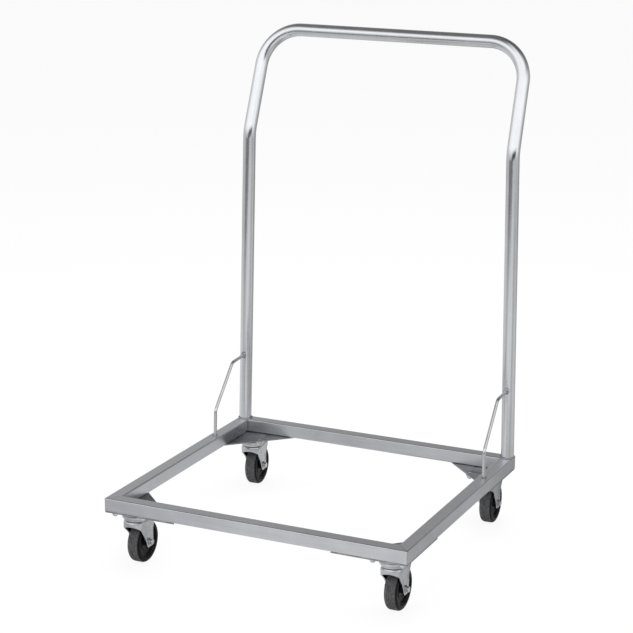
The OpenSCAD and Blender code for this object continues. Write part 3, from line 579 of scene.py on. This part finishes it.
for corner in CORNERS:
    softened(corner + "_axle_bolt", corner + "_bolt", plated, corner + "_swivel", "bolt_steel", 0.0003)
    softened(corner + "_axle_nut", corner + "_nut", plated, corner + "_swivel", "bolt_steel", 0.00025)
    softened(corner + "_axle_washers", corner + "_washers", plated, corner + "_swivel", "bolt_steel", 0.00015)
    dress(corner + "_axle_sleeve", plated)


# Wheel cores: black nylon, moulded with hub, web and rim in one piece. It has an even satin, with
# faint flow marks.

FLOW_MARKS = 70.0                   # per metre: a mark is about 14 mm wide
PORES = 1400.0                      # per metre: 0.7 mm, coarser than real pores, which wouldn't show

nylon = empty_material("moulded_nylon")
place = node(nylon, "TexCoord").outputs["Object"]
flow = node(nylon, "TexNoise", {"Vector": place, "Scale": FLOW_MARKS, "Detail": 3.0,
                                "Distortion": 0.6}).outputs["Fac"]
pores = node(nylon, "TexNoise", {"Vector": place, "Scale": PORES, "Detail": 1.0}).outputs["Fac"]
black = node(nylon, "Mix", {0: flow, 6: linear("0c0c0d"), 7: linear("171718")}, data_type="RGBA").outputs[2]
gloss = node(nylon, "MapRange", {"Value": flow, "To Min": 0.28, "To Max": 0.46}).outputs["Result"]
bump = node(nylon, "Bump", {"Height": pores, "Strength": 0.06, "Distance": 0.0003}).outputs["Normal"]
shader = node(nylon, "BsdfPrincipled", {"Base Color": black, "Roughness": gloss, "Normal": bump,
                                        "IOR": 1.53, "Specular IOR Level": 0.15})
node(nylon, "OutputMaterial", {"Surface": shader.outputs["BSDF"]})
for corner in CORNERS:
    softened(corner + "_wheel_core", corner + "_core", nylon, corner + "_wheel", "wheel_core", 0.0004)


# Tyres: solid black rubber, moulded and skimmed around the tread. The sides are smooth and dark, and the tread
# is greyer and duller,
# # with fine turned lines between its grooves. Its grey is partly dust and wear and partly a painted sheen.

WHEEL_R, TYRE_HALF, TYRE_ROUND, TYRE_IN = 0.040, 0.012, 0.0055, 0.0300
SHOULDER_STEPS = 8
GROOVES, GROOVE_W, GROOVE_DEPTH = (-0.004875, -0.001625, 0.001625, 0.004875), 0.0009, 0.0007
GROOVE_LIP, GROOVE_FOOT = 0.0001, 0.0002    # how far each wall stands out at its top, and in at its foot
TREAD, TREAD_END = 0.0085, 0.0112           # from the wheel's middle, where the tread's grey fades and ends
TURNED_LINES = (30.0, 30.0, 1500.0)         # per metre: 33 mm long and 0.7 mm apart, coarser than real
SMUDGES = 160.0                             # per metre: a smudge of dust is about 6 mm wide
TRAIL = 0.025
REST_TURN = {"front_left": 0, "front_right": 0, "rear_left": 4, "rear_right": 2}    # degrees


def rubber():
    """Tyre rubber: smooth and black at the sides, greyed on the tread by wear and dust and by a painted sheen.
    """
    mat = empty_material("tyre_rubber")
    place = node(mat, "Attribute", attribute_name="wheel").outputs["Vector"]
    spot = node(mat, "SeparateXYZ", {"Vector": place})
    off = node(mat, "Math", {0: spot.outputs["Z"]}, operation="ABSOLUTE").outputs["Value"]
    tread = node(mat, "MapRange", {"Value": off, "From Min": TREAD, "From Max": TREAD_END,
                                   "To Min": 1.0, "To Max": 0.0},
                 interpolation_type="SMOOTHSTEP").outputs["Result"]
    stretched = node(mat, "Mapping", {"Vector": place, "Scale": TURNED_LINES}).outputs["Vector"]
    turned = node(mat, "TexNoise", {"Vector": stretched, "Scale": 1.0, "Detail": 2.0}).outputs["Fac"]
    dust = node(mat, "TexNoise", {"Vector": place, "Scale": SMUDGES, "Detail": 4.0}).outputs["Fac"]
    blend = node(mat, "Mix", {0: 0.5, 2: turned, 3: dust}).outputs[0]
    spread = node(mat, "MapRange", {"Value": blend, **SPREAD}).outputs["Result"]
    # Dust and painted sheen: the tread's grey stands partly for the gloss it shows in the light
    dust_and_sheen = node(mat, "Mix", {0: spread, 6: linear("343435"), 7: linear("666668")}, data_type="RGBA").outputs[2]
    colour = node(mat, "Mix", {0: tread, 6: linear("070708"), 7: dust_and_sheen}, data_type="RGBA").outputs[2]
    gloss = node(mat, "Mix", {0: tread, 2: 0.38, 3: 0.55}).outputs[0]
    bump = node(mat, "Bump", {"Height": turned, "Strength": 0.25, "Distance": 0.0003}).outputs["Normal"]
    shader = node(mat, "BsdfPrincipled", {"Base Color": colour, "Roughness": gloss, "Normal": bump,
                                          "IOR": 1.52, "Specular IOR Level": 0.08})
    node(mat, "OutputMaterial", {"Surface": shader.outputs["BSDF"]})
    return mat


tyre_rubber = rubber()
shoulder_r = WHEEL_R - TYRE_ROUND
quarter = [math.pi / 2 * i / SHOULDER_STEPS for i in range(SHOULDER_STEPS + 1)]
outline = [(TYRE_IN, -TYRE_HALF), (shoulder_r, -TYRE_HALF)]     # radius, and place along the axle
outline += [(shoulder_r + TYRE_ROUND * math.sin(a), -TYRE_HALF + TYRE_ROUND - TYRE_ROUND * math.cos(a))
            for a in quarter[1:]]
for z in GROOVES:
    for r, dz in ((WHEEL_R, -GROOVE_W / 2 - GROOVE_LIP),
                  (WHEEL_R - GROOVE_DEPTH, -GROOVE_W / 2 + GROOVE_FOOT),
                  (WHEEL_R - GROOVE_DEPTH, GROOVE_W / 2 - GROOVE_FOOT),
                  (WHEEL_R, GROOVE_W / 2 + GROOVE_LIP)):
        outline.append((r, z + dz))
outline += [(shoulder_r + TYRE_ROUND * math.cos(a), TYRE_HALF - TYRE_ROUND + TYRE_ROUND * math.sin(a))
            for a in quarter]
outline += [(TYRE_IN, TYRE_HALF)]
for corner, (side_x, side_y) in CORNERS.items():
    bm = bmesh.new()
    wheel = bm.verts.layers.float_vector.new("wheel")
    points = [bmesh.ops.create_vert(bm, co=(r, 0, z))["vert"][0] for r, z in outline]
    edges = [bm.edges.new((points[i], points[(i + 1) % len(points)])) for i in range(len(points))]
    bmesh.ops.spin(bm, geom=edges, cent=(0, 0, 0), axis=(0, 0, 1), dvec=(0, 0, 0), angle=2 * math.pi, steps=96,
                   use_merge=True, use_normal_flip=False, use_duplicate=False)
    bmesh.ops.remove_doubles(bm, verts=bm.verts, dist=1e-6)
    for v in bm.verts:
        v[wheel] = v.co
    swivel = Matrix.Translation((side_x * SWIVEL_X, SWIVEL_Y[side_y], 0))
    at = swivel @ Matrix.Rotation(math.radians(REST_TURN[corner]), 4, "Z")
    placed = at @ Matrix.Translation((0, TRAIL, WHEEL_R)) @ Matrix.Rotation(math.pi / 2, 4, "Y")
    bmesh.ops.transform(bm, matrix=placed, verts=bm.verts)
    settle(corner + "_tyre_tread", bm, tyre_rubber, corner + "_wheel", "tyre_rubber", corner + "_tyre")


# Studio: a white sweep, as catalogue photographs have. The metal shows it too, with the grey flags,
# the black gap and the large soft light that draw its edges. A direction has a height, from -1
# below to 1 above, and an angle around the dolly, 0 in front and positive to the right.

STUDIO_TOP = 1.7            # strength of the brightest part of the soft light

# Brightness by height: of the soft light in front, and of the ceiling and the wall behind
SOFT_LIGHT = ((-1, 0.95), (-0.3, 0.95), (-0.2, 0.85), (0.02, 0.8), (0.12, 1.1), (0.28, 1.45),
              (0.48, 1.6), (0.62, 1.45), (0.72, 0.85), (0.81, 0.3), (1, 0.12))
WALL = ((-1, 0.95), (-0.3, 0.8), (-0.2, 0.6), (0.26, 0.55), (0.45, 0.3), (0.75, 0.15), (1, 0.15))
# What the flags let through by angle in degrees, further out on the floor and close to the dolly
FLAGS = ((-180, 0.42), (-150, 0.5), (-90, 0.76), (-60, 0.64), (-35, 0.6), (-10, 0.85), (5, 1.0),
         (60, 1.0), (70, 0.55), (90, 0.55), (104, 0.78), (130, 0.8), (145, 0.62), (180, 0.5))
FLAGS_CLOSE = ((-180, 0.85), (-165, 0.8), (-150, 0.5), (-100, 0.6), (-40, 0.6), (-12, 0.95),
               (25, 0.95), (60, 0.62), (105, 0.38), (131, 0.58), (144, 0.32), (180, 0.6))
OVER_FLAGS = (0.92, 0.92, 0.92, 1)      # what is left of the light above them
GAP_BLACK = (0.03, 0.03, 0.03, 1)

# Where each part of the studio begins and ends, by angle in radians
LIGHT_RIGHT = 0.45                      # the right end of the soft light, whose left end is at 0
BEHIND = {"From Min": 0.8, "From Max": 1.9}     # past either end, from the light to the wall behind
SINKS = {"From Min": 0.6, "From Max": 1.5, "To Min": 0.0, "To Max": 0.18}
REACHES_UP = {"From Min": -0.4, "From Max": 0.3, "To Min": 0.0, "To Max": -0.3}
WALL_LEFT = {"From Min": -2.86, "From Max": -2.6, "To Min": 1.0, "To Max": 1.5}
WALL_RIGHT = {"From Min": 1.5, "From Max": 2.4, "To Min": 1.0, "To Max": 0.6}
GAP_NEARER = {"From Min": -0.3, "From Max": 0.15, "To Min": 0.07, "To Max": 0.0}
GAP_TOP = {"From Min": -0.2, "From Max": 0.2, "To Min": -0.12, "To Max": 0.24}
GAP_SIDES = {"From Min": 0.75, "From Max": 0.4}
# And by height
HIGH_UP = {"From Min": 0.55, "From Max": 0.8}
ABOVE_FLOOR = {"From Min": -0.12, "From Max": 0.0}
ON_FLOOR = {"From Min": -0.12, "From Max": -0.24}
FURTHER_OUT = {"From Min": -0.75, "From Max": -0.5}
PAPER_EDGE = {"From Min": -0.29, "From Max": -0.2}
LIGHT_EDGE = {"From Min": 0.05, "From Max": -0.05}
GAP_MIDDLE = {"From Min": -0.12, "From Max": 0.05, "To Min": -0.22, "To Max": 0.3}
GAP_WIDER = {"From Min": -0.12, "From Max": 0.0, "To Min": 0.0, "To Max": 0.25}


def studio_tone(owner, direction):
    """Brightness of the studio in a direction, as a share of STUDIO_TOP."""
    way = node(owner, "VectorMath", {0: direction}, operation="NORMALIZE").outputs["Vector"]
    parts = node(owner, "SeparateXYZ", {"Vector": way})
    height = parts.outputs["Z"]
    front = node(owner, "Math", {0: parts.outputs["Y"], 1: -1.0}, operation="MULTIPLY").outputs["Value"]
    around = node(owner, "Math", {0: parts.outputs["X"], 1: front}, operation="ARCTAN2").outputs["Value"]
    rightward = node(owner, "Math", {0: around, 1: LIGHT_RIGHT}, operation="SUBTRACT").outputs["Value"]
    leftward = node(owner, "Math", {0: around, 1: -1.0}, operation="MULTIPLY").outputs["Value"]
    aside = node(owner, "Math", {0: rightward, 1: leftward}, operation="MAXIMUM").outputs["Value"]
    behind = node(owner, "MapRange", {"Value": aside, **BEHIND},
                  interpolation_type="SMOOTHSTEP").outputs["Result"]
    # The soft light is a band above the front. To the right it sinks, and reaches further up as well
    sunk = node(owner, "MapRange", {"Value": around, **SINKS}).outputs["Result"]
    high_up = node(owner, "MapRange", {"Value": height, **HIGH_UP}).outputs["Result"]
    rightish = node(owner, "MapRange", {"Value": around, **REACHES_UP}).outputs["Result"]
    taller = node(owner, "Math", {0: high_up, 1: rightish}, operation="MULTIPLY").outputs["Value"]
    moved = node(owner, "Math", {0: sunk, 1: taller}, operation="ADD").outputs["Value"]
    lower = node(owner, "Math", {0: height, 1: moved}, operation="ADD").outputs["Value"]
    off_floor = node(owner, "MapRange", {"Value": height, **ABOVE_FLOOR}).outputs["Result"]
    raised = node(owner, "Mix", {0: off_floor, 2: height, 3: lower}).outputs[0]
    # Each ramp runs from -end to end of its source, which its stops call -span and span
    ramps = []
    for source, end, span, top, stops in ((raised, 1, 1, STUDIO_TOP, SOFT_LIGHT),
                                          (height, 1, 1, STUDIO_TOP, WALL),
                                          (around, math.pi, 180, 1, FLAGS),
                                          (around, math.pi, 180, 1, FLAGS_CLOSE)):
        share = node(owner, "MapRange", {"Value": source, "From Min": -end, "From Max": end}).outputs["Result"]
        ramp = node(owner, "ValToRGB", {"Fac": share})
        marks = [((stop + span) / (2 * span), value / top) for stop, value in stops]
        for element, (stop, value) in zip(ramp.color_ramp.elements, (marks[0], marks[-1])):
            element.position, element.color = stop, (value, value, value, 1)
        for stop, value in marks[1:-1]:
            ramp.color_ramp.elements.new(stop).color = (value, value, value, 1)
        ramps.append(ramp.outputs["Color"])
    light, back_wall, flags_out, flags_close = ramps
    # The wall behind is lighter to the left and darker to the right
    lift = node(owner, "MapRange", {"Value": around, **WALL_LEFT}).outputs["Result"]
    drop = node(owner, "MapRange", {"Value": around, **WALL_RIGHT}).outputs["Result"]
    shade = node(owner, "Math", {0: lift, 1: drop}, operation="MULTIPLY").outputs["Value"]
    wall = node(owner, "Mix", {0: 1.0, 6: back_wall, 7: shade}, data_type="RGBA",
                blend_type="MULTIPLY").outputs[2]
    all_round = node(owner, "Mix", {0: behind, 6: light, 7: wall}, data_type="RGBA").outputs[2]
    # The flags are painted in, as if they stood on the floor around the dolly, and their painted shade on the
    # floor close to it follows another ramp
    further = node(owner, "MapRange", {"Value": height, **FURTHER_OUT}).outputs["Result"]
    floor_share = node(owner, "MapRange", {"Value": height, **ON_FLOOR}).outputs["Result"]
    flag_share = node(owner, "Math", {0: further, 1: floor_share}, operation="MULTIPLY").outputs["Value"]
    near = node(owner, "Mix", {0: floor_share, 6: OVER_FLAGS, 7: flags_close}, data_type="RGBA").outputs[2]
    flags = node(owner, "Mix", {0: flag_share, 6: near, 7: flags_out}, data_type="RGBA").outputs[2]
    lit = node(owner, "Mix", {0: 1.0, 6: all_round, 7: flags}, data_type="RGBA",
               blend_type="MULTIPLY").outputs[2]
    # A black gap lies between the paper's front edge and the soft light, nearer to the left
    nearer = node(owner, "MapRange", {"Value": around, **GAP_NEARER}).outputs["Result"]
    level = node(owner, "Math", {0: height, 1: nearer}, operation="ADD").outputs["Value"]
    above_edge = node(owner, "MapRange", {"Value": level, **PAPER_EDGE},
                      interpolation_type="SMOOTHSTEP").outputs["Result"]
    reach = node(owner, "MapRange", {"Value": around, **GAP_TOP}).outputs["Result"]
    under = node(owner, "Math", {0: height, 1: reach}, operation="SUBTRACT").outputs["Value"]
    below_light = node(owner, "MapRange", {"Value": under, **LIGHT_EDGE},
                       interpolation_type="SMOOTHSTEP").outputs["Result"]
    middle = node(owner, "MapRange", {"Value": height, **GAP_MIDDLE}).outputs["Result"]
    off = node(owner, "Math", {0: around, 1: middle}, operation="SUBTRACT").outputs["Value"]
    centred = node(owner, "Math", {0: off}, operation="ABSOLUTE").outputs["Value"]
    wider = node(owner, "MapRange", {"Value": height, **GAP_WIDER}).outputs["Result"]
    narrowed = node(owner, "Math", {0: centred, 1: wider}, operation="SUBTRACT").outputs["Value"]
    in_front = node(owner, "MapRange", {"Value": narrowed, **GAP_SIDES},
                    interpolation_type="SMOOTHSTEP").outputs["Result"]
    between = node(owner, "Math", {0: above_edge, 1: below_light}, operation="MULTIPLY").outputs["Value"]
    gap = node(owner, "Math", {0: between, 1: in_front}, operation="MULTIPLY").outputs["Value"]
    return node(owner, "Mix", {0: gap, 6: lit, 7: GAP_BLACK}, data_type="RGBA").outputs[2]


def direct_view(owner, rays):
    """1 for camera and transmission rays, which see the plain white sweep."""
    return node(owner, "Math", {0: rays.outputs["Is Camera Ray"], 1: rays.outputs["Is Transmission Ray"]},
                operation="MAXIMUM").outputs["Value"]


FLOOR_HALF = 30
STUDIO_MIDDLE = (0, 0, 0.7)                 # where the floor's directions are reckoned from
PLAIN_SHARE, MIRRORED_SHARE = 0.9, 0.88     # the rest is matt paper, which has the dolly's shadow

mesh = bpy.data.meshes.new("sweep")
bm = bmesh.new()
bmesh.ops.create_grid(bm, x_segments=1, y_segments=1, size=FLOOR_HALF)
bm.to_mesh(mesh)
bm.free()
floor = bpy.data.objects.new("floor", mesh)
bpy.context.scene.collection.objects.link(floor)
paper = empty_material("white_sweep")
mesh.materials.append(paper)
matt = node(paper, "BsdfDiffuse", {"Color": linear("f7f7f7")}).outputs["BSDF"]
white = node(paper, "Emission", {"Color": (1, 1, 1, 1), "Strength": 1.0}).outputs["Emission"]
shadowed = node(paper, "MixShader", {0: PLAIN_SHARE, 1: matt, 2: white}).outputs["Shader"]
place = node(paper, "TexCoord").outputs["Object"]
towards = node(paper, "VectorMath", {0: place, 1: STUDIO_MIDDLE}, operation="SUBTRACT").outputs["Vector"]
# For glossy rays the floor glows with the studio's painted light and the flags' painted shade, reckoned from
# the studio's middle
painted_studio_glow = node(paper, "Emission", {"Color": studio_tone(paper, towards),
                                   "Strength": STUDIO_TOP}).outputs["Emission"]
mirrored = node(paper, "MixShader", {0: MIRRORED_SHARE, 1: matt, 2: painted_studio_glow}).outputs["Shader"]
rays = node(paper, "LightPath")
direct = direct_view(paper, rays)
glossy = node(paper, "MixShader", {0: rays.outputs["Is Glossy Ray"], 1: matt, 2: mirrored}).outputs["Shader"]
surface = node(paper, "MixShader", {0: direct, 1: glossy, 2: shadowed}).outputs["Shader"]
node(paper, "OutputMaterial", {"Surface": surface})

world = bpy.data.worlds.new("studio")
bpy.context.scene.world = world
world.use_nodes = True
world.node_tree.nodes.clear()
direct = direct_view(world, node(world, "LightPath"))
sky = node(world, "TexCoord").outputs["Generated"]
room = node(world, "Background", {"Color": studio_tone(world, sky),
                                  "Strength": STUDIO_TOP}).outputs["Background"]
plain = node(world, "Background", {"Color": (1, 1, 1, 1), "Strength": 1.0}).outputs["Background"]
surround = node(world, "MixShader", {0: direct, 1: room, 2: plain}).outputs["Shader"]
node(world, "OutputWorld", {"Surface": surround})

# Two soft panels: name, width and depth, watts and place. Both face the middle of the dolly
PANELS = (("front_panel", (3.0, 1.6), 16, (0.9, -2.6, 2.9)), ("overhead_panel", (3.0, 3.0), 90, (0, 0.3, 3.4)))
LIT_POINT = Vector((0, 0, 0.4))
for name, size, watts, at in PANELS:
    lamp = bpy.data.lights.new(name, "AREA")
    lamp.shape, lamp.energy = "RECTANGLE", watts
    lamp.size, lamp.size_y = size
    panel = bpy.data.objects.new(name, lamp)
    facing = (LIT_POINT - Vector(at)).to_track_quat("-Z", "Y").to_matrix().to_4x4()
    panel.matrix_world = Matrix.Translation(at) @ facing
    bpy.context.scene.collection.objects.link(panel)
    panel.visible_glossy = False    # the metal shows the studio's own light instead


# Camera: it stands to the right of the front and slightly above, with a long lens, as the
# photograph's did. Its place was found from the corners of the frame and the posts.

AZIMUTH, ELEVATION, ROLL = math.radians(24.7059), math.radians(14.8503), math.radians(0.4942)
DISTANCE, TARGET = 3.57996, Vector((-0.002749, -0.037941, 0.451381))
NUDGE_LEFT, NUDGE_DOWN = 0.00093, 0.00046       # of the target, to centre the picture
SENSOR_MM, FOCAL_PIXELS, IMAGE_PIXELS = 36, 1929.235, 633

back = Vector((math.sin(AZIMUTH) * math.cos(ELEVATION), -math.cos(AZIMUTH) * math.cos(ELEVATION),
               math.sin(ELEVATION)))
level = Vector((0, 0, 1)).cross(back).normalized()
upright = back.cross(level)
right = math.cos(ROLL) * level + math.sin(ROLL) * upright
up = math.cos(ROLL) * upright - math.sin(ROLL) * level
target = TARGET - NUDGE_LEFT * right - NUDGE_DOWN * up
lens = bpy.data.cameras.new("camera")
lens.sensor_width = SENSOR_MM
lens.lens = SENSOR_MM * FOCAL_PIXELS / IMAGE_PIXELS
camera = bpy.data.objects.new("camera", lens)
facing = Matrix((right, up, back)).transposed().to_4x4()
camera.matrix_world = Matrix.Translation(target + back * DISTANCE) @ facing
bpy.context.scene.collection.objects.link(camera)
bpy.context.scene.camera = camera
bpy.context.scene.view_settings.view_transform = "Standard"
